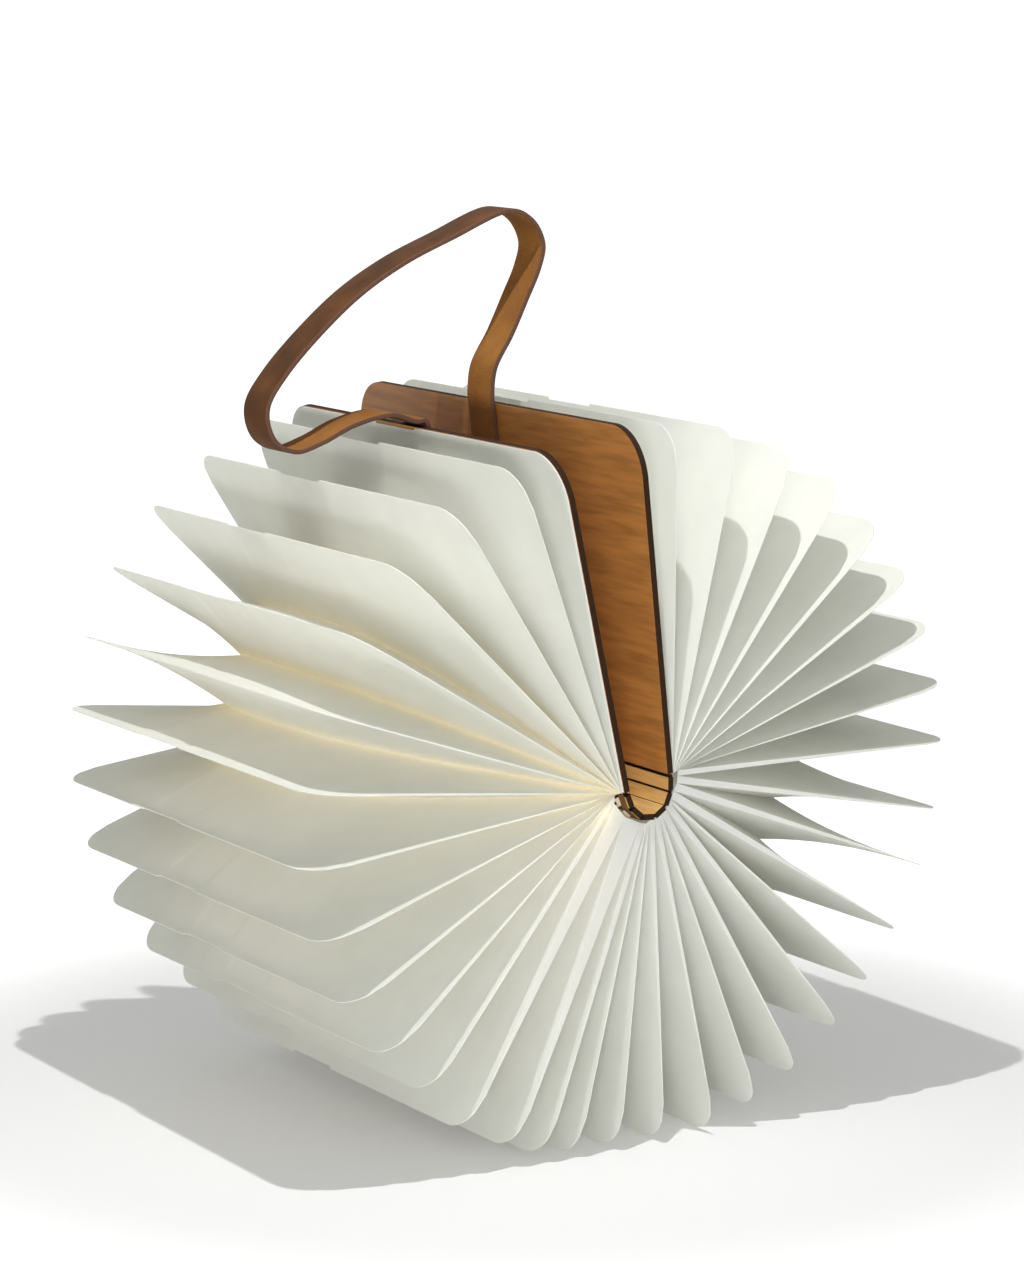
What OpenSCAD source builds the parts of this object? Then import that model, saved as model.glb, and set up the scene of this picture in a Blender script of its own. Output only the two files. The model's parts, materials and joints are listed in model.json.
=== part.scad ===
// Folding book lamp: a wooden book whose cover boards swing right round until
// the accordion pages stand out in a fan, with a light bar in the spine.
// Units are millimetres. The spine lies along Y and the fan stands on Z = 0.

/* [Cover boards] */
// Length of the boards along the spine
cover_l = 216; // [180:1:240]
// Width of a board, from the spine to its fore-edge
cover_w = 133.5; // [120:0.5:150]
// Thickness of the plywood boards
cover_t = 2.5; // [2:0.1:3.2]
// Radius of the boards' outer corners
cover_r = 19; // [8:1:30]
// How far the front board leans from upright
front_lean = 6; // [4:0.5:10]
// How far the back board leans from upright
back_lean = 12.4; // [11:0.2:16]

/* [Spine] */
// Width of one spine slat
slat_w = 4.9; // [4.8:0.1:5.4]
// Gap between two slats, measured on the page side
slat_gap = 1.7; // [1.7:0.1:2.2]
// Thickness of the slats
slat_t = 2.3; // [1.8:0.1:2.3]
// How the bend gathers towards the back board (1 = even U)
bend_skew = 1.12; // [1:0.02:1.14]

/* [Pages] */
// Length of a page from its hinge line to its fore-edge
page_w = 132; // [118:0.5:148]
// Thickness of a page's bonded rim (two sheets)
page_t = 0.3; // [0.2:0.05:0.3]
// Radius of the pages' outer corners
page_r = 16; // [6:1:26]
// Distance by which the pages stop short of the boards' ends
page_inset = 1; // [0.5:0.5:3]
// Length of the shallow strap recess in every fore-edge
recess_l = 32; // [24:1:40]
// Depth of that recess
recess_d = 1; // [0.5:0.1:1.5]
// Where the recess sits along the spine, from the middle
recess_y = 16; // [0:1:20]
// How high the inner folds arch, as a share of the page
arch_share = 0.73; // [0.5:0.01:0.8]

/* [Strap] */
// Width of the leather strap
strap_w = 18.5; // [14:0.5:24]
// Thickness of the leather
strap_t = 1.8; // [1.2:0.1:2]
// Where the strap sits along the spine, from the middle
strap_y = 4.5; // [0:0.5:8]
// Diameter of the magnets in the strap's ends and in the boards
magnet_d = 10; // [8:1:12]

/* [Light bar] */
// Distance by which the light bar stops short of each end of the boards
bar_inset = 5; // [2:0.5:20]
// How far the bar stands out from its slat
bar_h = 6; // [5.6:0.1:6]

/* [Hidden] */
$fn = 48;
page_count = 34;
back_pages = 11;         // pages hinged on the back board
front_pages = 9;         // pages hinged on the front board
hinges = 7;
paper_t = 0.3;           // endpapers and spine lining
skin = 0.03;             // air left under papers that only lie on wood
pitch = slat_w + slat_gap;
plate_t = 0.6;           // dark side plates of the light bar
stack = 0.42;            // spacing of the page roots on a board
first_page = back_lean + 7.2;        // angle of the page next to the back board
last_page = 360 + front_lean - 6.5;  // of the page next to the front board, right round
bar_l = cover_l - 2 * bar_inset;
root_gap = 2.6;          // from a board's page hinge to the visible sheet
slat_root_gap = 0.9;     // the same for pages hinged on the slats
arch_steps = 8;
web_t = 0.15;

// Bend of each hinge line in the open fan: a bump, gentle at the two boards.
function bump(j) = sin(180 * pow((j - 0.5) / hinges, bend_skew));
function sum(v, n, i = 0) = i >= n ? 0 : v[i] + sum(v, n, i + 1);
bumps = [for (j = [1 : hinges]) bump(j)];
bend_total = 180 - back_lean + front_lean;
bends = [for (b = bumps) bend_total * b / sum(bumps, hinges)];

// Travel angle of segment j, from straight down: 0 front board, 1-6 slats, 7 back board.
function psi(j) = sum(bends, j) - front_lean;
function along(j) = [-sin(psi(j)), -cos(psi(j))];
function outward(j) = [cos(psi(j)), -sin(psi(j))];

// Hinge line j in the section plane [x, z]; hinge 1 joins the front board and slat 1.
function hinge(j) = j <= 1 ? [0, 0] : hinge(j - 1) + pitch * along(j - 1);
function slat_mid(j) = (hinge(j) + hinge(j + 1)) / 2;

// Pages fan out evenly but crowd together where they carry the lamp's weight.
function crowd(x) = 1 + 0.165 * cos(360 * x) + 0.061 * sin(360 * x) + 0.039 * sin(720 * x)
                  - 0.5 * exp(-pow((x - 0.371) / 0.055, 2));
gaps = [for (i = [0 : page_count - 2]) crowd((i + 0.5) / (page_count - 1))];
function page_angle(i) = -first_page
    - (last_page - first_page) * sum(gaps, i) / sum(gaps, page_count - 1);

// Pages hinged on slats 1 to 6: how many, where along the slat, step, and height.
slat_pages = [2, 3, 3, 4, 1, 1];
root_shift = [0.6, 0.4, 0.5, -0.27, -2.4, -1.6];
root_step  = [1.2, 1.4, 1.4, 1.0, 0, 0];
root_out   = [3.3, 1.2, 1.0, 1.9, 2.6, bar_h + 0.9];
root_rise  = [0, 0, 0, 0.6, 0, 0];

// Number of pages hinged from the back board up to and including slat j.
function pages_to(j) = j > 6 ? back_pages : pages_to(j + 1) + slat_pages[j - 1];
function slat_of(i, j = 6) = i < pages_to(j) ? j : slat_of(i, j - 1);
function slat_root(j, k) = slat_mid(j)
    + (root_shift[j - 1] - (k - (slat_pages[j - 1] - 1) / 2) * root_step[j - 1]) * along(j)
    + (root_out[j - 1] - (k - (slat_pages[j - 1] - 1) / 2) * root_rise[j - 1]) * outward(j);
function board_root(j, n, rise) = hinge(max(j, 1)) + (0.55 + stack * n) * outward(j)
    + (j == 7 ? rise : -rise) * along(j);
function page_root(i) =
    i < back_pages ? board_root(7, i, 2.2 - 0.16 * i)
    : i >= page_count - front_pages
        ? board_root(0, page_count - 1 - i, 1.5 - 0.06 * (page_count - 1 - i))
        : slat_root(slat_of(i), i - pages_to(slat_of(i) + 1));
function root_start(i) =
    i < back_pages || i >= page_count - front_pages ? root_gap : slat_root_gap;
function page_dir(a) = [sin(a), cos(a)];

// The fan stands on four pages. The ones between its outer feet bow under the weight,
// so that they reach no lower than the last of the four does.
last_foot = 17;
function tip(i, w) = page_root(i) + w * page_dir(page_angle(i));
floor_z = tip(last_foot, page_w)[1];
function reach(i) = let (c = page_dir(page_angle(i))[1])
    c > -0.5 ? page_w : min(page_w, (floor_z - page_root(i)[1]) / c);

// The fan is moved so that its box is centred over the origin, feet on the floor.
tips = [for (i = [0 : page_count - 1]) tip(i, reach(i))];
shift_x = -(min([for (p = tips) p[0]]) + max([for (p = tips) p[0]])) / 2;
shift_z = -min([for (p = tips) p[1]]);

// ---- placing helpers ----

// Local x runs from the hinge line outwards, y along the spine, z across the sheet.
module on_sheet(p, a) {
  translate([p[0] + shift_x, 0, p[1] + shift_z]) rotate([0, a - 90, 0]) children();
}
module on_front() { on_sheet(hinge(1), -front_lean) children(); }
module on_back() { on_sheet(hinge(7), -back_lean) children(); }
module on_slat(j) { on_sheet(slat_mid(j), 180 + psi(j)) children(); }
module section(l, y = 0) {
  translate([shift_x, y + l / 2, shift_z]) rotate([90, 0, 0]) linear_extrude(l) children();
}

// Sheet outline with two rounded outer corners, from x0 to x1.
module sheet_2d(x0, x1, l, r) {
  translate([x0, -l / 2]) square([x1 - x0 - r, l]);
  translate([x0, r - l / 2]) square([x1 - x0, l - 2 * r]);
  for (s = [-1, 1]) translate([x1 - r, s * (l / 2 - r)]) circle(r);
}

// Shallow recess in a fore-edge at x1, with sloping ends.
module recess_2d(x1) {
  translate([x1, recess_y])
    polygon([[-recess_d, -recess_l / 2 + recess_d], [-recess_d, recess_l / 2 - recess_d],
             [0, recess_l / 2], [1, recess_l / 2], [1, -recess_l / 2], [0, -recess_l / 2]]);
}

// ---- boards ----

board_x0 = slat_gap / 2;
board_x1 = slat_gap / 2 + cover_w;
magnet_x = board_x1 - 18;
magnet_t = 1.4;

module board(page_side) {
  // wood on the far side of the page face from the pages
  z0 = page_side > 0 ? -cover_t : 0;
  difference() {
    translate([0, 0, z0]) linear_extrude(cover_t) sheet_2d(board_x0, board_x1, cover_l, cover_r);
    translate([magnet_x, strap_y, page_side > 0 ? -magnet_t - 0.1 : -1])
      cylinder(d = magnet_d + 0.2, h = magnet_t + 1.1);
  }
}
module board_magnet(page_side) {
  translate([magnet_x, strap_y, page_side > 0 ? -magnet_t - 0.05 : 0.05])
    cylinder(d = magnet_d, h = magnet_t);
}
module endpaper(page_side) {
  translate([0, 0, page_side > 0 ? skin : -skin - paper_t]) linear_extrude(paper_t) difference() {
    sheet_2d(board_x0 + 0.4, board_x1 - 0.4, cover_l - 0.8, cover_r - 0.4);
    recess_2d(board_x1 - 0.4);
  }
}

module front_cover() { color([0.45, 0.27, 0.13]) on_front() board(-1); }
module back_cover() { color([0.45, 0.27, 0.13]) on_back() board(1); }
module front_endpaper() { color([0.93, 0.93, 0.89]) on_front() endpaper(-1); }
module back_endpaper() { color([0.93, 0.93, 0.89]) on_back() endpaper(1); }
module front_magnet() { color([0.75, 0.76, 0.78]) on_front() board_magnet(-1); }
module back_magnet() { color([0.75, 0.76, 0.78]) on_back() board_magnet(1); }

// ---- spine ----

module slat(j) {
  color([0.45, 0.27, 0.13]) on_slat(j)
    translate([-slat_w / 2, -cover_l / 2, -slat_t]) cube([slat_w, cover_l, slat_t]);
}

// White lining that carries the slats; every bend is a hinge line.
function mitre(j) = (outward(j - 1) + outward(j)) / (1 + outward(j - 1) * outward(j));
module spine_lining() {
  reach = 0.7;
  inner = concat([hinge(1) - reach * along(0) + skin * outward(0)],
                 [for (j = [1 : 7]) hinge(j) + skin * mitre(j)],
                 [hinge(7) + reach * along(7) + skin * outward(7)]);
  outer = concat([hinge(1) - reach * along(0) + (skin + paper_t / 2) * outward(0)],
                 [for (j = [1 : 7]) hinge(j) + (skin + paper_t / 2) * mitre(j)],
                 [hinge(7) + reach * along(7) + (skin + paper_t / 2) * outward(7)]);
  color([0.93, 0.93, 0.89]) section(cover_l - 2)
    polygon(concat(inner, [for (i = [len(outer) - 1 : -1 : 0]) outer[i]]));
}

// ---- pages ----

module page(n) {
  i = n - 1;
  color([0.93, 0.93, 0.89]) on_sheet(page_root(i), page_angle(i))
    translate([0, 0, -page_t / 2]) linear_extrude(page_t) difference() {
      sheet_2d(root_start(i), reach(i), cover_l - 2 * page_inset, page_r);
      recess_2d(reach(i));
    }
}

// Inner folds: between two pages the splayed sheets meet in an arched valley.
page_half = cover_l / 2 - page_inset;
function rim(y, w) = abs(y) <= page_half - page_r ? w
    : w - page_r + sqrt(max(0, pow(page_r, 2) - pow(abs(y) - page_half + page_r, 2)));
function valley(y) = max(5, arch_share * page_w * (1 - pow(abs(y) / (page_half - 2), 3)));
function arch_y(k) = -(page_half - 3) + 2 * (page_half - 3) * k / arch_steps;
function lift(p, a, r, z, y) = let (q = p + r * page_dir(a) + z * [-cos(a), sin(a)])
    [q[0] + shift_x, y, q[1] + shift_z];

// Section of one fold at station k: two thin legs from the pages to the valley.
function fold_ring(i, k) = let (
    y = arch_y(k), a = page_angle(i), b = page_angle(i + 1), m = (a + b) / 2,
    pa = page_root(i), pb = page_root(i + 1), pm = (pa + pb) / 2,
    ra = rim(y, reach(i)) - 3, rb = rim(y, reach(i + 1)) - 3,
    v = min(valley(y), ra - 8, rb - 8), g = page_t / 2 + skin)
  [lift(pa, a, ra, g, y), lift(pa, a, ra, g + web_t, y), lift(pm, m, v + 1.5, 0, y),
   lift(pb, b, rb, -g - web_t, y), lift(pb, b, rb, -g, y), lift(pm, m, v, 0, y)];
module fold(i) {
  n = 6;
  pts = [for (k = [0 : arch_steps]) each fold_ring(i, k)];
  // both faces of a leg are split along the same diagonal
  sides = [for (k = [0 : arch_steps - 1], s = [0 : n - 1])
             let (t = (s + 1) % n, a = k * n + s, b = k * n + t, c = a + n, d = b + n)
             each (s < 4 ? [[a, b, d], [a, d, c]] : [[a, b, c], [b, d, c]])];
  e = arch_steps * n;
  ends = [[0, 5, 1], [1, 5, 2], [2, 5, 3], [3, 5, 4],
          [e, e + 1, e + 5], [e + 1, e + 2, e + 5], [e + 2, e + 3, e + 5], [e + 3, e + 4, e + 5]];
  polyhedron(pts, concat(sides, ends));
}
module page_folds() {
  color([0.93, 0.92, 0.86]) for (i = [0 : page_count - 2]) fold(i);
}

// ---- strap ----

// A point of the strap's middle line beside a board: at s from the board's hinge line,
// and d off the page side (negative on the wood side).
strap_off = cover_t + strap_t / 2 + 0.2;
function by_front(s, d = -strap_off) = d * outward(0) - s * along(0);
function by_back(s, d = -strap_off) = hinge(7) + s * along(7) + d * outward(7);

// Route from the front board's wood face, over to the back, and down the back board's
// wood face. The free part is given for a 133.5 mm board and follows the board's width.
route_k = cover_w / 133.5;
free_part = [[-16.4, 148], [-9.2, 160], [-2.4, 173.5], [3.6, 186], [5.4, 196], [-0.5, 205.5],
             [-12, 208.6], [-35.2, 199.6], [-57, 190.5], [-77, 179], [-95, 164.5], [-110, 149.5],
             [-118, 137], [-115.5, 125], [-106, 119.6], [-94, 122.5], [-80, 128.4], [-64, 131.4]];
route = concat([for (k = [0.78, 0.88, 0.97, 1.03]) by_front(board_x1 * k)],
               route_k * free_part,
               [by_back(board_x1 + 3.2, 1.5), by_back(board_x1 + 2.2, -2.9)],
               [by_back(board_x1 - 2.2), by_back(board_x1 * 0.93)],
               [for (k = [0.85, 0.78]) by_back(board_x1 * k)]);
function spline(a, b, c, d, t) = 0.5 * ((2 * b) + (c - a) * t + (2 * a - 5 * b + 4 * c - d) * t * t
    + (3 * b - a - 3 * c + d) * t * t * t);
strap_line = [for (i = [0 : len(route) - 2], t = [0, 1 / 3, 2 / 3])
    spline(route[max(i - 1, 0)], route[i], route[i + 1],
                     route[min(i + 2, len(route) - 1)], t)];
function unit(v) = v / norm(v);
function side(line, i) = let (d = unit(line[min(i + 1, len(line) - 1)] - line[max(i - 1, 0)]))
    [-d[1], d[0]];
module leather_strap() {
  n = len(strap_line);
  color([0.4, 0.23, 0.15]) section(strap_w, strap_y)
    polygon(concat([for (i = [0 : n - 1]) strap_line[i] + strap_t / 2 * side(strap_line, i)],
                   [for (i = [n - 1 : -1 : 0]) strap_line[i] - strap_t / 2 * side(strap_line, i)]));
}

// ---- light bar, on slat 6 ----

bar_z = paper_t + skin;
bar_in = slat_w - 2 * plate_t;
bar_top = bar_z + bar_h;
module bar_box(x0, x1, z0, z1, l, y = 0) {
  translate([x0, y - l / 2, z0]) cube([x1 - x0, l, z1 - z0]);
}
module bar_plates() {
  color([0.2, 0.14, 0.1]) on_slat(6) for (s = [-1, 1])
    bar_box(s > 0 ? bar_in / 2 : -slat_w / 2, s > 0 ? slat_w / 2 : -bar_in / 2, bar_z, bar_top, bar_l);
}
module bar_channel() {
  // trough with a floor and two end blocks, open to the pages
  color([0.86, 0.82, 0.72]) on_slat(6) difference() {
    bar_box(-bar_in / 2, bar_in / 2, bar_z, bar_top - 0.8, bar_l);
    bar_box(-bar_in / 2 + 0.35, bar_in / 2 - 0.35, bar_z + 0.5, bar_top, bar_l - 16);
    translate([0, -bar_l / 2 - 1, bar_z + 2.4]) rotate([-90, 0, 0]) cylinder(d = 2, h = 7);
  }
}
module charge_socket() {
  color([0.12, 0.1, 0.09]) on_slat(6) difference() {
    translate([0, -bar_l / 2 + 0.4, bar_z + 2.4]) rotate([-90, 0, 0]) cylinder(d = 1.9, h = 5);
    translate([0, -bar_l / 2, bar_z + 2.4]) rotate([-90, 0, 0]) cylinder(d = 1.1, h = 4);
  }
}
module battery_cell() {
  color([0.3, 0.45, 0.6]) on_slat(6)
    bar_box(-bar_in / 2 + 0.45, bar_in / 2 - 0.45, bar_z + 0.6, bar_z + 2.9,
            0.53 * bar_l, -0.15 * bar_l);
}
module led_board() {
  color([0.95, 0.95, 0.92]) on_slat(6)
    bar_box(-bar_in / 2 + 0.4, bar_in / 2 - 0.4, bar_top - 2.6, bar_top - 2.1, 0.91 * bar_l);
}
module led_chips() {
  color([1, 0.86, 0.5]) on_slat(6) for (k = [-7 : 7])
    bar_box(-0.9, 0.9, bar_top - 2.08, bar_top - 1.4, 2.8, 0.061 * k * bar_l);
}
module bar_diffuser() {
  color([0.98, 0.95, 0.85]) on_slat(6)
    bar_box(-bar_in / 2, bar_in / 2, bar_top - 0.78, bar_top, bar_l);
}
module fold_switch() {
  // reed switch that lights the bar when the boards part
  color([0.25, 0.3, 0.28]) on_slat(6)
    translate([0, 0.22 * bar_l, bar_z + 1.6]) rotate([-90, 0, 0]) cylinder(d = 1.8, h = 12);
}
module cable_strip() {
  color([0.86, 0.82, 0.72]) on_slat(5)
    bar_box(-1.4, slat_w / 2 - 0.1, paper_t + skin, paper_t + skin + 1, bar_l);
}

front_cover();
back_cover();
front_endpaper();
back_endpaper();
front_magnet();
back_magnet();
slat(1);  // slat_1
slat(2);  // slat_2
slat(3);  // slat_3
slat(4);  // slat_4
slat(5);  // slat_5
slat(6);  // slat_6
spine_lining();
page_folds();
leather_strap();
bar_plates();
bar_channel();
charge_socket();
battery_cell();
led_board();
led_chips();
bar_diffuser();
fold_switch();
cable_strip();
page(1);  // page_01
page(2);  // page_02
page(3);  // page_03
page(4);  // page_04
page(5);  // page_05
page(6);  // page_06
page(7);  // page_07
page(8);  // page_08
page(9);  // page_09
page(10);  // page_10
page(11);  // page_11
page(12);  // page_12
page(13);  // page_13
page(14);  // page_14
page(15);  // page_15
page(16);  // page_16
page(17);  // page_17
page(18);  // page_18
page(19);  // page_19
page(20);  // page_20
page(21);  // page_21
page(22);  // page_22
page(23);  // page_23
page(24);  // page_24
page(25);  // page_25
page(26);  // page_26
page(27);  // page_27
page(28);  // page_28
page(29);  // page_29
page(30);  // page_30
page(31);  // page_31
page(32);  // page_32
page(33);  // page_33
page(34);  // page_34
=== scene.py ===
import bpy
import json
import math
import numpy as np
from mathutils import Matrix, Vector


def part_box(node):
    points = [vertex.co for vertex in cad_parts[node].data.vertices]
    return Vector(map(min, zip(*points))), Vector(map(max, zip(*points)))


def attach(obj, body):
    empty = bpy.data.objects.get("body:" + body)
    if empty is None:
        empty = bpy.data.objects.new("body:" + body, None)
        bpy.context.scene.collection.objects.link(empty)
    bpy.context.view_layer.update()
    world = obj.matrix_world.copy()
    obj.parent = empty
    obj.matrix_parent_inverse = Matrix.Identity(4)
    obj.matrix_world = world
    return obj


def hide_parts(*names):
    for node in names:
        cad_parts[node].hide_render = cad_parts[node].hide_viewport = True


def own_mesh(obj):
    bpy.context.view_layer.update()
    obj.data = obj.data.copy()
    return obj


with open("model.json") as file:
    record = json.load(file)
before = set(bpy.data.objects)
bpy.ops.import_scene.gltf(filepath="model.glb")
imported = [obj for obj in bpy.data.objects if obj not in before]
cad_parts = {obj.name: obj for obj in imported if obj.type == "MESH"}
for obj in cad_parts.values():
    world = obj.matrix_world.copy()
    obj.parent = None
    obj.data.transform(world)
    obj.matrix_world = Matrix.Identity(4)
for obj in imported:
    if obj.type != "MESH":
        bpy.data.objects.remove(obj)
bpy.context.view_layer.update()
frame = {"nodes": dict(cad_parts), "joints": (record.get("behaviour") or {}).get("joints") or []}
nodes = frame["nodes"]
joints = {j["name"]: j for j in frame["joints"]}

# Metres throughout. The spine runs along y, so a point or direction of two numbers is (x, z).
# Places on a page or board are measured outward from its hinge line.
PAGES = 34
SLATS = 6

PAGE_HALF = 0.107             # half a page's length along the spine
PAGE_W = 0.132
PAGE_R = 0.016                # round corners
RECESS_Y = 0.016              # the strap's recess in the rim: its middle along the spine,
RECESS_L = 0.032              # its length
RECESS_D = 0.001              # and its depth

BOND = 0.004                  # width of the bonded rim
MIN_PLY = 0.004               # least width of a sheet inside the bond
PLY_GAP = 0.00015             # from a page's middle plane to either of its sheets
BOW = 0.12                    # strength of a sheet's bow between bond and valley
ARCH = 0.73                   # top of the valley's arch, as a share of the page
ARCH_POWER = 3
ARCH_END = 0.001              # the arch starts this far inside the page's ends

BOARD_SHEET_W = 0.1337        # the sheets that are glued to the boards' papers
BOARD_SHEET_R = 0.0186
BOARD_SHEET_GAP = 0.00012
OFF_ENDPAPER = 0.00035        # just clear of a board's endpaper

LINING = (0.00003, 0.00018)   # the spine lining's two faces, outward from the hinge lines

# painted glow: the sheets of the left pages, which face the light bar, get a warm emission along
# their inner folds in place of light from the bar
PAINTED_GLOW_POWER = 0.22
PAINTED_GLOW_REACH = 0.005
PAINTED_GLOW_ANGLE = 160              # degrees round the spine, from +X
PAINTED_GLOW_SPREAD = 32


# ---------------------------------------------------------------- shader helpers

def new_mat(name):
    m = bpy.data.materials.new(name)
    m.use_nodes = True
    nt = m.node_tree
    return m, nt, nt.nodes["Principled BSDF"]


def node(nt, kind, **props):
    n = nt.nodes.new(kind)
    for k, v in props.items():
        setattr(n, k, v)
    return n


def settings(n, **values):
    """Sets a node's inputs by name, with _ for each space."""
    for k, v in values.items():
        n.inputs[k.replace("_", " ")].default_value = v


def maths(nt, operation, *values):
    """One step of arithmetic on sockets and numbers."""
    n = node(nt, "ShaderNodeMath", operation=operation)
    for socket, v in zip(n.inputs, values):
        if isinstance(v, float):
            socket.default_value = v
        else:
            nt.links.new(v, socket)
    return n.outputs[0]


def space(nt, stretch=None):
    """Object coordinates, scaled by stretch if it is given."""
    at = node(nt, "ShaderNodeTexCoord").outputs["Object"]
    if stretch:
        mapping = node(nt, "ShaderNodeMapping")
        settings(mapping, Scale=stretch)
        nt.links.new(at, mapping.inputs["Vector"])
        at = mapping.outputs["Vector"]
    return at


def noise(nt, at, scale, detail=2, distortion=0):
    n = node(nt, "ShaderNodeTexNoise")
    settings(n, Scale=scale, Detail=detail, Distortion=distortion)
    nt.links.new(at, n.inputs["Vector"])
    return n.outputs["Fac"]


def ramp(nt, fac, low, dark, high, light):
    """Colour from dark, where fac is low, to light, where it is high."""
    r = node(nt, "ShaderNodeValToRGB")
    for stop, place, colour in zip(r.color_ramp.elements, (low, high), (dark, light)):
        stop.position = place
        stop.color = (*colour, 1)
    nt.links.new(fac, r.inputs["Fac"])
    return r.outputs["Color"]


def bumps(nt, shader, height, strength, depth):
    n = node(nt, "ShaderNodeBump")
    settings(n, Strength=strength, Distance=depth)
    nt.links.new(height, n.inputs["Height"])
    nt.links.new(n.outputs["Normal"], shader.inputs["Normal"])


def shade(colour, share):
    return tuple(x * share for x in colour)


# ---------------------------------------------------------------- materials

def plain(name, colour, rough=0.5, **extra):
    """Moulded, plated or coated surface with a faint mottle."""
    m, nt, b = new_mat(name)
    at = space(nt)
    tone = ramp(nt, noise(nt, at, 260, detail=5), 0.3, shade(colour, 0.88), 0.7, colour)
    nt.links.new(tone, b.inputs["Base Color"])
    bumps(nt, b, noise(nt, at, 1400), strength=0.06, depth=0.0001)
    settings(b, Roughness=rough, **extra)
    return m


def paper(name, through, colour=(0.92, 0.932, 0.90)):
    """Spunbond paper. The share through of it is translucent; the mesh's painted glow attribute
    adds a painted warm glow as emission, in place of light from the bar.
    """
    m, nt, b = new_mat(name)
    at = space(nt)
    tone = ramp(nt, noise(nt, at, 60, detail=5), 0.3, shade(colour, 0.95), 0.68, colour)
    nt.links.new(tone, b.inputs["Base Color"])
    bumps(nt, b, noise(nt, at, 900, detail=3), strength=0.08, depth=0.0002)
    settings(b, Roughness=0.62, Specular_IOR_Level=0.3, Emission_Color=(1, 0.66, 0.18, 1))
    # painted glow: the attribute's warm emission is light drawn onto the paper, and it is not
    # sampled, so it lights nothing else
    painted_glow = node(nt, "ShaderNodeAttribute", attribute_name="painted_glow").outputs["Fac"]
    nt.links.new(maths(nt, "MULTIPLY", painted_glow, PAINTED_GLOW_POWER), b.inputs["Emission Strength"])
    m.cycles.emission_sampling = "NONE"
    behind = node(nt, "ShaderNodeBsdfTranslucent")
    settings(behind, Color=(0.93, 0.925, 0.85, 1))
    mix = node(nt, "ShaderNodeMixShader")
    mix.inputs["Fac"].default_value = through
    nt.links.new(b.outputs["BSDF"], mix.inputs[1])
    nt.links.new(behind.outputs["BSDF"], mix.inputs[2])
    nt.links.new(mix.outputs["Shader"], nt.nodes["Material Output"].inputs["Surface"])
    return m


def walnut(name, light, dark):
    """Oiled wood, its grain along the spine: broad figure times fine pores."""
    m, nt, b = new_mat(name)
    at = space(nt, stretch=(1.0, 0.09, 1.0))
    figure = ramp(nt, noise(nt, at, 95, detail=6, distortion=0.5), 0.3, dark, 0.68, light)
    fine = noise(nt, at, 420, detail=3)
    pores = ramp(nt, fine, 0.35, (0.72, 0.72, 0.72), 0.6, (1, 1, 1))
    both = node(nt, "ShaderNodeMix", data_type="RGBA", blend_type="MULTIPLY")
    both.inputs["Factor"].default_value = 1
    nt.links.new(figure, both.inputs["A"])
    nt.links.new(pores, both.inputs["B"])
    nt.links.new(both.outputs["Result"], b.inputs["Base Color"])
    bumps(nt, b, fine, strength=0.15, depth=0.0002)
    settings(b, Roughness=0.42, Specular_IOR_Level=0.3)
    return m


def hide(name, light, dark, pebble, rough, strength):
    """Leather: cloudy colour, with pebbles at that scale."""
    m, nt, b = new_mat(name)
    at = space(nt)
    tone = ramp(nt, noise(nt, at, 45, detail=5), 0.3, dark, 0.7, light)
    nt.links.new(tone, b.inputs["Base Color"])
    cells = node(nt, "ShaderNodeTexVoronoi")
    settings(cells, Scale=pebble)
    nt.links.new(at, cells.inputs["Vector"])
    bumps(nt, b, cells.outputs["Distance"], strength, depth=0.0003)
    settings(b, Roughness=rough, Specular_IOR_Level=0.12)
    return m


PAPER = paper("spunbond paper", through=0.33)
ENDPAPER = paper("endpaper", through=0.0)
CLOTH = plain("brown book cloth", (0.16, 0.085, 0.04), 0.9, Specular_IOR_Level=0.1)
WALNUT = walnut("oiled walnut", (0.58, 0.26, 0.066), (0.48, 0.208, 0.051))
# painted light: the slats are the same walnut as the boards, made paler and golden where the key
# light falls down into the V
SLAT_WOOD_PAINTED_LIT = walnut("oiled walnut, painted key light", (0.82, 0.52, 0.19), (0.58, 0.34, 0.10))
CHAR = plain("charred edge", (0.030, 0.014, 0.006), 0.8, Specular_IOR_Level=0.12)
GRAIN = hide("leather grain", (0.13, 0.050, 0.015), (0.04, 0.016, 0.006), 900, 0.7, 0.3)
SUEDE = hide("leather suede", (0.36, 0.155, 0.037), (0.21, 0.088, 0.022), 1500, 0.9, 0.6)
CUT_LEATHER = plain("leather edge", (0.09, 0.035, 0.015), 0.7)
CREAM = plain("cream plastic", (0.78, 0.70, 0.52))
DARK = plain("dark plastic", (0.03, 0.022, 0.018))
NICKEL = plain("nickel plate", (0.7, 0.71, 0.73), 0.25, Metallic=1.0)
CELL = plain("cell wrap", (0.10, 0.24, 0.45), 0.3)
CIRCUIT = plain("white board", (0.85, 0.85, 0.82))
GEL = plain("led gel", (0.95, 0.75, 0.3), 0.3)
OPAL = plain("opal diffuser", (0.95, 0.92, 0.82), 0.4,
             Emission_Color=(1, 0.72, 0.34, 1), Emission_Strength=13)


# ---------------------------------------------------------------- places in the frame

def unit(v):
    return v / np.linalg.norm(v)


def normal(u):
    """u turned a quarter: across a page, towards the next one."""
    return np.array([-u[1], u[0]])


def hinge(name):
    p = joints[name]["pos_m"]
    return np.array([p[0], p[2]])


def fold(j):
    return hinge("spine_fold_%d" % j)


def corners(name):
    """A CAD node's vertices, as (x, z)."""
    return np.array([v.co for v in nodes[name].data.vertices])[:, [0, 2]]


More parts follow.
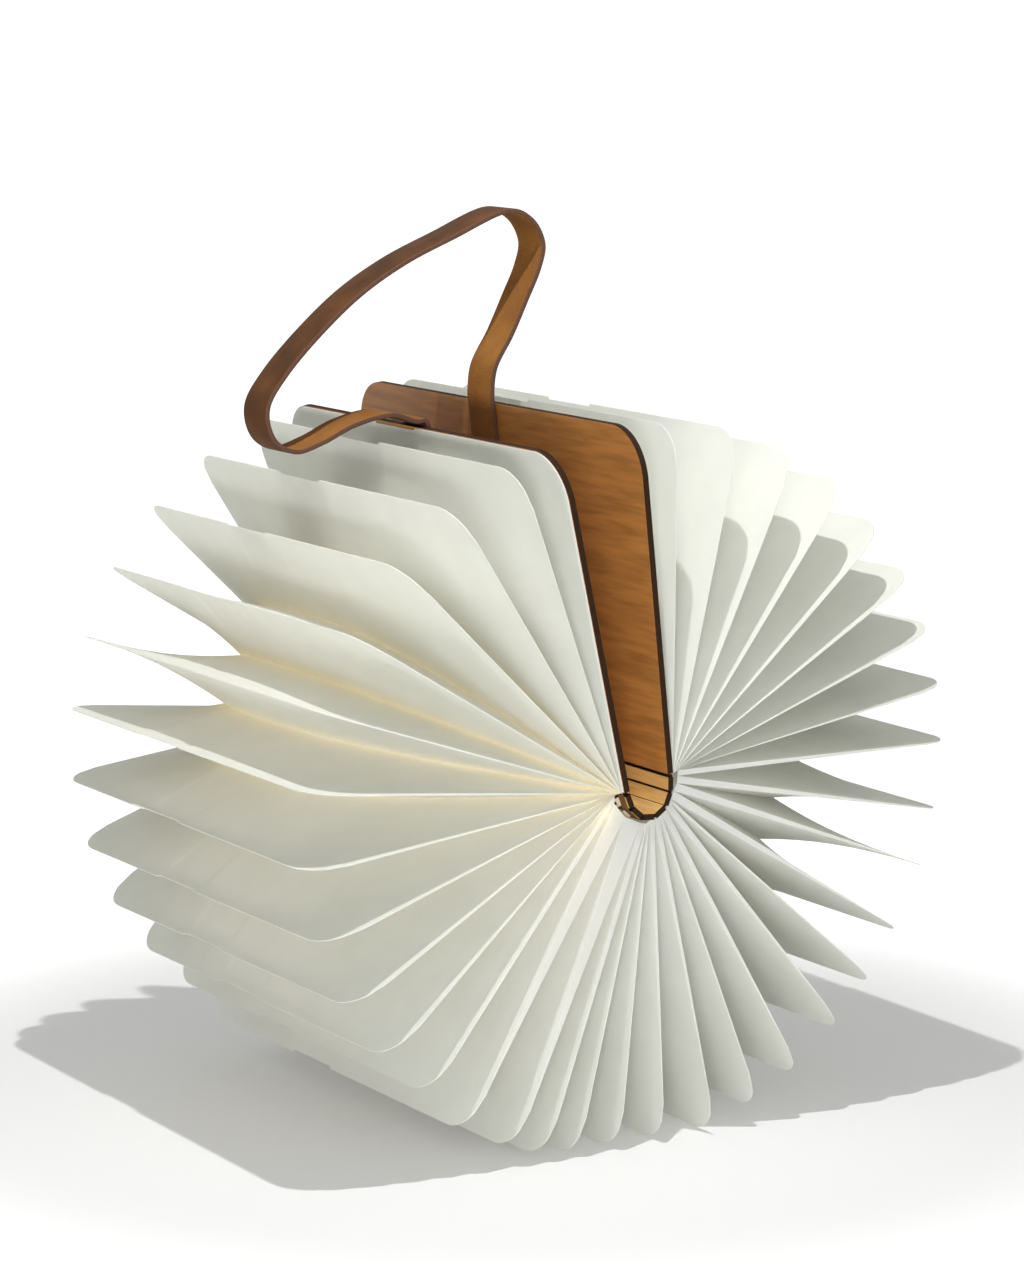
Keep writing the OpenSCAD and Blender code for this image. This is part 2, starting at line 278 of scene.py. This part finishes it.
def page_place(i):
    """Hinge line, direction and width of page i, from its outermost corners."""
    root = hinge("page_hinge_%02d" % i)
    d = corners("page_%02d" % i) - root
    reach = np.linalg.norm(d, axis=1)
    same_rim = 0.0004
    far = d[reach > reach.max() - same_rim].mean(0)
    return root, unit(far), float(np.linalg.norm(far))


def board_dir(name, root):
    """Direction of a board, from its hinge line outward."""
    co = corners(name)
    u = np.linalg.svd(co - co.mean(0), full_matrices=False)[2][0]
    return u if np.dot(u, co.mean(0) - root) > 0 else -u


FRONT_ROOT, BACK_ROOT = fold(1), fold(SLATS + 1)
FRONT_DIR = board_dir("front_cover", FRONT_ROOT)
BACK_DIR = board_dir("back_cover", BACK_ROOT)


# ---------------------------------------------------------------- CAD nodes that are shown

def paint(o, *mats):
    o.data.materials.clear()
    for m in mats:
        o.data.materials.append(m)


def wood(name, across, face):
    """Face material on the broad faces, charred on every cut edge."""
    o = nodes[name]
    paint(o, face, CHAR)
    n = Vector((across[0], 0, across[1]))
    broad = 0.9
    for p in o.data.polygons:
        p.material_index = 0 if abs(p.normal.dot(n)) > broad else 1


wood("front_cover", normal(FRONT_DIR), WALNUT)
wood("back_cover", normal(BACK_DIR), WALNUT)
# the slats take the walnut with painted key light
for j in range(1, SLATS + 1):
    wood("slat_%d" % j, normal(unit(fold(j + 1) - fold(j))), SLAT_WOOD_PAINTED_LIT)

FINISH = {"front_endpaper": ENDPAPER, "back_endpaper": ENDPAPER,
          "front_magnet": NICKEL, "back_magnet": NICKEL,
          "bar_plates": CHAR, "bar_channel": CREAM, "cable_strip": CREAM,
          "charge_socket": DARK, "battery_cell": CELL, "led_board": CIRCUIT,
          "led_chips": GEL, "bar_diffuser": OPAL, "fold_switch": DARK}
for name, finish in FINISH.items():
    paint(nodes[name], finish)


def mesh(name, verts, faces, mats, smooth=True):
    me = bpy.data.meshes.new(name)
    me.from_pydata([tuple(map(float, v)) for v in verts], [], faces)
    me.update()
    for p in me.polygons:
        p.use_smooth = smooth
    o = bpy.data.objects.new(name, me)
    bpy.context.scene.collection.objects.link(o)
    paint(o, *mats)
    return o


# ---------------------------------------------------------------- spine lining

def lining(j):
    """The strip of lining behind slat j, a thin box from fold to fold."""
    a, b = fold(j), fold(j + 1)
    lo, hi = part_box("slat_%d" % j)
    out = normal(unit(b - a))
    if np.dot(out, np.array([lo.x + hi.x, lo.z + hi.z]) / 2 - (a + b) / 2) > 0:
        out = -out
    near, far = LINING
    section = [a + near * out, b + near * out, b + far * out, a + far * out]
    verts = [(p[0], y, p[1]) for y in (-PAGE_HALF, PAGE_HALF) for p in section]
    ends = [(0, 1, 2, 3), (7, 6, 5, 4)]
    sides = [(k, k + 4, (k + 1) % 4 + 4, (k + 1) % 4) for k in range(4)]
    return mesh("lining_%d" % j, verts, ends + sides, [CLOTH], smooth=False)


# the lining bends at every hinge, so each slat carries the strip behind it
for j in range(1, SLATS + 1):
    strip = lining(j)
    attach(strip, "slat_%d" % j)
    if j == 1:
        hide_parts("spine_lining")


# ---------------------------------------------------------------- pages

def rim(y, width, r):
    """A sheet's width at y, with its round corners and the recess."""
    past = abs(y) - (PAGE_HALF - r)
    reach = width - r + math.sqrt(max(0, r * r - past * past)) if past > 0 else width
    inside = RECESS_L / 2 - abs(y - RECESS_Y)
    return reach - min(max(inside, 0), RECESS_D)


def valley(y):
    """Height of the arched inner fold between two pages; it dips a little at the page's ends."""
    arch = 1 - (abs(y) / (PAGE_HALF - ARCH_END)) ** ARCH_POWER
    return max(-ARCH_END, ARCH * PAGE_W * arch)


def stations(count=56, even=0.55):
    """Places along the spine, denser towards the ends, and the corners of the recess."""
    t = np.linspace(-1, 1, count)
    y = PAGE_HALF * (even * t + (1 - even) * np.sin(t * math.pi / 2))
    half = RECESS_L / 2
    recess = [RECESS_Y + d for d in (-half, RECESS_D - half, half - RECESS_D, half)]
    return np.unique(np.round(np.concatenate([y, recess]), 6))


STATIONS = stations()
PLY_STEPS = np.linspace(0, 1, 9)[1:]      # from the bond to the valley


def ply(root, u, valley_root, valley_u, side, gap, width, r):
    """One sheet of a fold, from a page's rim to the valley beside it: a row of points per station.
    It is flat along the bond, then runs to the valley in a slight bow."""
    n = side * normal(u)
    rows = []
    for y in STATIONS:
        reach = rim(y, width, r)
        inner = reach - BOND
        height = min(valley(y), inner - MIN_PLY)
        section = [root + q * u + gap * n for q in (reach, reach - BOND / 2, inner)]
        end = valley_root + height * valley_u - root
        for t in PLY_STEPS:
            along = inner + (np.dot(end, u) - inner) * t
            lift = gap + (np.dot(end, n) - gap) * (t + BOW * (t * t - t))
            section.append(root + along * u + lift * n)
        rows.append([(p[0], y, p[1]) for p in section])
    return rows


def add_grid(verts, faces, rows, flip):
    """Fills in between neighbouring rows of points."""
    first, wide = len(verts), len(rows[0])
    for row in rows:
        verts.extend(row)
    for i in range(len(rows) - 1):
        for j in range(wide - 1):
            a = first + i * wide + j
            quad = (a, a + 1, a + wide + 1, a + wide)
            faces.append(quad[::-1] if flip else quad)


def sheets(name, root, u, valleys, gap, width, r):
    """One page's sheets, for the valleys (root, direction, side) beside it."""
    verts, faces, painted_glow, plies = [], [], [], []
    for valley_root, valley_u, side in valleys:
        rows = ply(root, u, valley_root, valley_u, side, gap, width, r)
        add_grid(verts, faces, rows, side > 0)
        for row in rows:
            end = np.array(row[-1])
            # painted glow: strongest at the valley fold and fading away from it
            painted_glow += [math.exp(-np.linalg.norm(np.array(q) - end) / PAINTED_GLOW_REACH) for q in row]
        plies.append(rows)
    if len(plies) == 2:
        # a pair is joined along its rim and at both ends
        before, after = plies
        add_grid(verts, faces, [[row[0] for row in after], [row[0] for row in before]], False)
        add_grid(verts, faces, [after[0], before[0]], True)
        add_grid(verts, faces, [after[-1], before[-1]], False)
    o = mesh(name, verts, faces, [PAPER])
    # the painted glow is kept to the pages that point round the set angle
    turn = math.degrees(math.atan2(u[1], u[0])) % 360 - PAINTED_GLOW_ANGLE
    share = math.exp(-(turn / PAINTED_GLOW_SPREAD) ** 2)
    painted_glow += [0] * (len(verts) - len(painted_glow))
    attribute = o.data.attributes.new("painted_glow", "FLOAT", "POINT")
    attribute.data.foreach_set("value", np.array(painted_glow, np.float32) * share)
    return o


def press(o):
    """Gives the sheets their own copy of the mesh."""
    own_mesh(o)


def between(a, b):
    """Root and direction of the valley between two neighbours."""
    return (a[0] + b[0]) / 2, unit(a[1] + b[1])


# root, direction and sheet width, in order round the spine: back board, pages, front board
fan = ([(BACK_ROOT + OFF_ENDPAPER * normal(BACK_DIR), BACK_DIR, BOARD_SHEET_W)]
       + [page_place(i) for i in range(1, PAGES + 1)]
       + [(FRONT_ROOT - OFF_ENDPAPER * normal(FRONT_DIR), FRONT_DIR, BOARD_SHEET_W)])

for i in range(1, PAGES + 1):
    root, u, width = fan[i]
    valleys = [(*between(fan[i - 1], fan[i]), -1), (*between(fan[i], fan[i + 1]), 1)]
    o = sheets("sheets_%02d" % i, root, u, valleys, PLY_GAP, width, PAGE_R)
    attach(o, "page_%02d" % i)
    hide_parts("page_%02d" % i)
    press(o)

# the sheets next to the boards are glued to the endpapers at their rims
for name, body, k, side, mate in (("sheets_front", "front_board", PAGES + 1, -1, PAGES),
                                  ("sheets_back", "back_board", 0, 1, 1)):
    root, u, width = fan[k]
    valleys = [(*between(fan[k], fan[mate]), side)]
    o = sheets(name, root, u, valleys, BOARD_SHEET_GAP, width, BOARD_SHEET_R)
    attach(o, body)
    press(o)
    if body == "front_board":
        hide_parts("page_folds")


# ---------------------------------------------------------------- strap

# the free part of the route, in mm from the front board's hinge line, as in the CAD source
FREE_MM = [(-16.4, 148), (-9.2, 160), (-2.4, 173.5), (3.6, 186), (5.4, 196), (-0.5, 205.5),
           (-12, 208.6), (-35.2, 199.6), (-57, 190.5), (-77, 179), (-95, 164.5), (-110, 149.5),
           (-118, 137), (-115.5, 125), (-106, 119.6), (-94, 122.5), (-80, 128.4), (-64, 131.4)]
BOARD_END = 0.13435           # a board's outer edge, from its hinge line
STRAP_OFF = 0.0036            # the strap's middle, from the hinge line's plane
STRAP_HALF_T = 0.0009
STRAP_EDGE_R = 0.00035
STRAP_FACES = {11: 0, 3: 1}   # the section's broad sides: grain and suede; the rest is cut edge


def by_front(s):
    return FRONT_ROOT + s * FRONT_DIR + STRAP_OFF * normal(FRONT_DIR)


def by_back(s, off=-STRAP_OFF):
    return BACK_ROOT + s * BACK_DIR + off * normal(BACK_DIR)


# up the front board, over the free part, round the back board's edge and down that board
ROUTE = ([by_front(BOARD_END * k) for k in (0.78, 0.88, 0.97, 1.03)]
         + [FRONT_ROOT + np.array(p) / 1000 for p in FREE_MM]
         + [by_back(BOARD_END + 0.0032, 0.0015), by_back(BOARD_END + 0.0022, -0.0029),
            by_back(BOARD_END - 0.0022)]
         + [by_back(BOARD_END * k) for k in (0.93, 0.85, 0.78)])


def spline(points, steps):
    """A smooth curve through the points, with that many steps to a span (Catmull-Rom)."""
    out = []
    last = len(points) - 1
    for i in range(last):
        a, b, c, d = (points[max(0, min(last, i + k))] for k in (-1, 0, 1, 2))
        for t in np.arange(steps) / steps:
            out.append(0.5 * (2 * b + (c - a) * t + (2 * a - 5 * b + 4 * c - d) * t * t
                              + (3 * b - a - 3 * c + d) * t ** 3))
    return np.array(out + [points[-1]])


def strap_section(half_w):
    """Flat with round edges: points (across the width, across the thickness)."""
    flat_w, flat_t = half_w - STRAP_EDGE_R, STRAP_HALF_T - STRAP_EDGE_R
    return [(flat_w * x + STRAP_EDGE_R * math.cos(math.radians(start + turn)),
             flat_t * z + STRAP_EDGE_R * math.sin(math.radians(start + turn)))
            for x, z, start in ((1, 1, 0), (-1, 1, 90), (-1, -1, 180), (1, -1, 270))
            for turn in (0, 30, 60, 90)]


def strap():
    lo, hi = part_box("leather_strap")
    middle = (lo.y + hi.y) / 2
    section = strap_section((hi.y - lo.y) / 2)
    line = spline(ROUTE, steps=10)
    tangents = np.gradient(line, axis=0)
    tangents /= np.linalg.norm(tangents, axis=1)[:, None]
    verts = []
    for p, t in zip(line, tangents):
        for u, v in section:
            q = p + v * normal(t)
            verts.append((q[0], middle + u, q[1]))
    m = len(section)
    last = (len(line) - 1) * m
    faces = []
    for i in range(0, last, m):
        for j in range(m):
            k = (j + 1) % m
            faces.append((i + j, i + m + j, i + m + k, i + k))
    ends = [tuple(range(m)), tuple(last + j for j in reversed(range(m)))]
    o = mesh("strap_body", verts, faces + ends, [GRAIN, SUEDE, CUT_LEATHER])
    for p in o.data.polygons:
        p.material_index = STRAP_FACES.get(p.index % m, 2)
    return o


s = strap()
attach(s, "front_board")
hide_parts("leather_strap")


# ---------------------------------------------------------------- stage

FLOOR_Z = -0.0002
FLOOR_EDGE = 40.0
FLOOR_GREY = 0.94
# how far the floor pales into the background, by distance from the origin
FLOOR_GLOW = {"From_Min": 0.20, "From_Max": 0.42, "To_Min": 0.14, "To_Max": 0.80}
ROOM = 0.36                   # strength of the white room as light,
BACKDROP = 1.0                # and as background


def seen(nt):
    """1 for rays that show the background: camera, glossy and transmission."""
    rays = node(nt, "ShaderNodeLightPath").outputs
    out = rays["Is Camera Ray"]
    for k in ("Is Glossy Ray", "Is Transmission Ray"):
        out = maths(nt, "MAXIMUM", out, rays[k])
    return out


def floor_mat():
    """Matt white, whose paleness away from the object lights nothing else."""
    m, nt, b = new_mat("floor")
    settings(b, Base_Color=(FLOOR_GREY, FLOOR_GREY, FLOOR_GREY, 1), Roughness=0.9,
             Specular_IOR_Level=0.0, Emission_Color=(1, 1, 1, 1))
    distance = node(nt, "ShaderNodeVectorMath", operation="LENGTH")
    nt.links.new(space(nt), distance.inputs[0])
    pale = node(nt, "ShaderNodeMapRange", interpolation_type="SMOOTHSTEP")
    settings(pale, **FLOOR_GLOW)
    nt.links.new(distance.outputs["Value"], pale.inputs["Value"])
    strength = maths(nt, "MULTIPLY", pale.outputs["Result"], seen(nt))
    nt.links.new(strength, b.inputs["Emission Strength"])
    return m


def floor():
    e, z = FLOOR_EDGE, FLOOR_Z
    return mesh("floor", [(-e, -e, z), (e, -e, z), (e, e, z), (-e, e, z)], [(0, 1, 2, 3)],
                [floor_mat()], smooth=False)


def white_room():
    world = bpy.data.worlds.new("World")
    bpy.context.scene.world = world
    world.use_nodes = True
    nt = world.node_tree
    strength = node(nt, "ShaderNodeMapRange")
    settings(strength, To_Min=ROOM, To_Max=BACKDROP)
    nt.links.new(seen(nt), strength.inputs["Value"])
    background = nt.nodes["Background"]
    settings(background, Color=(1, 1, 1, 1))
    nt.links.new(strength.outputs["Result"], background.inputs["Strength"])


floor()
white_room()
bpy.context.scene.view_settings.view_transform = "Standard"


# ---------------------------------------------------------------- lamps and camera

HUB = (0.0, 0.0, 0.145)
CAMERA_AT = (-0.8512, -1.4096, 0.4586)
CAMERA_YAW, CAMERA_PITCH = 31.24, -9.50     # degrees
LENS_MM = 117.4


def aim(o, place, look):
    o.location = place
    o.rotation_euler = look.to_track_quat("-Z", "Y").to_euler()
    bpy.context.scene.collection.objects.link(o)


def area(name, place, wide, tall, power):
    """An oval lamp that faces the hub."""
    lamp = bpy.data.lights.new(name, "AREA")
    lamp.shape = "ELLIPSE"
    lamp.size = wide
    lamp.size_y = tall
    lamp.energy = power
    aim(bpy.data.objects.new(name, lamp), place, Vector(HUB) - Vector(place))


def camera():
    cam = bpy.data.cameras.new("Camera")
    cam.sensor_fit = "AUTO"
    cam.sensor_width = 36
    cam.lens = LENS_MM
    o = bpy.data.objects.new("Camera", cam)
    yaw, pitch = math.radians(CAMERA_YAW), math.radians(CAMERA_PITCH)
    aim(o, CAMERA_AT, Vector((math.sin(yaw) * math.cos(pitch), math.cos(yaw) * math.cos(pitch),
                              math.sin(pitch))))
    bpy.context.scene.camera = o


# the key casts the shadow; the fill is low and near the camera, as light off the table
area("key", (-0.144, -0.202, 0.893), wide=0.015, tall=0.015, power=3.65)
area("fill", (-0.85, -1.45, 0.09), wide=0.8, tall=0.16, power=13)
camera()
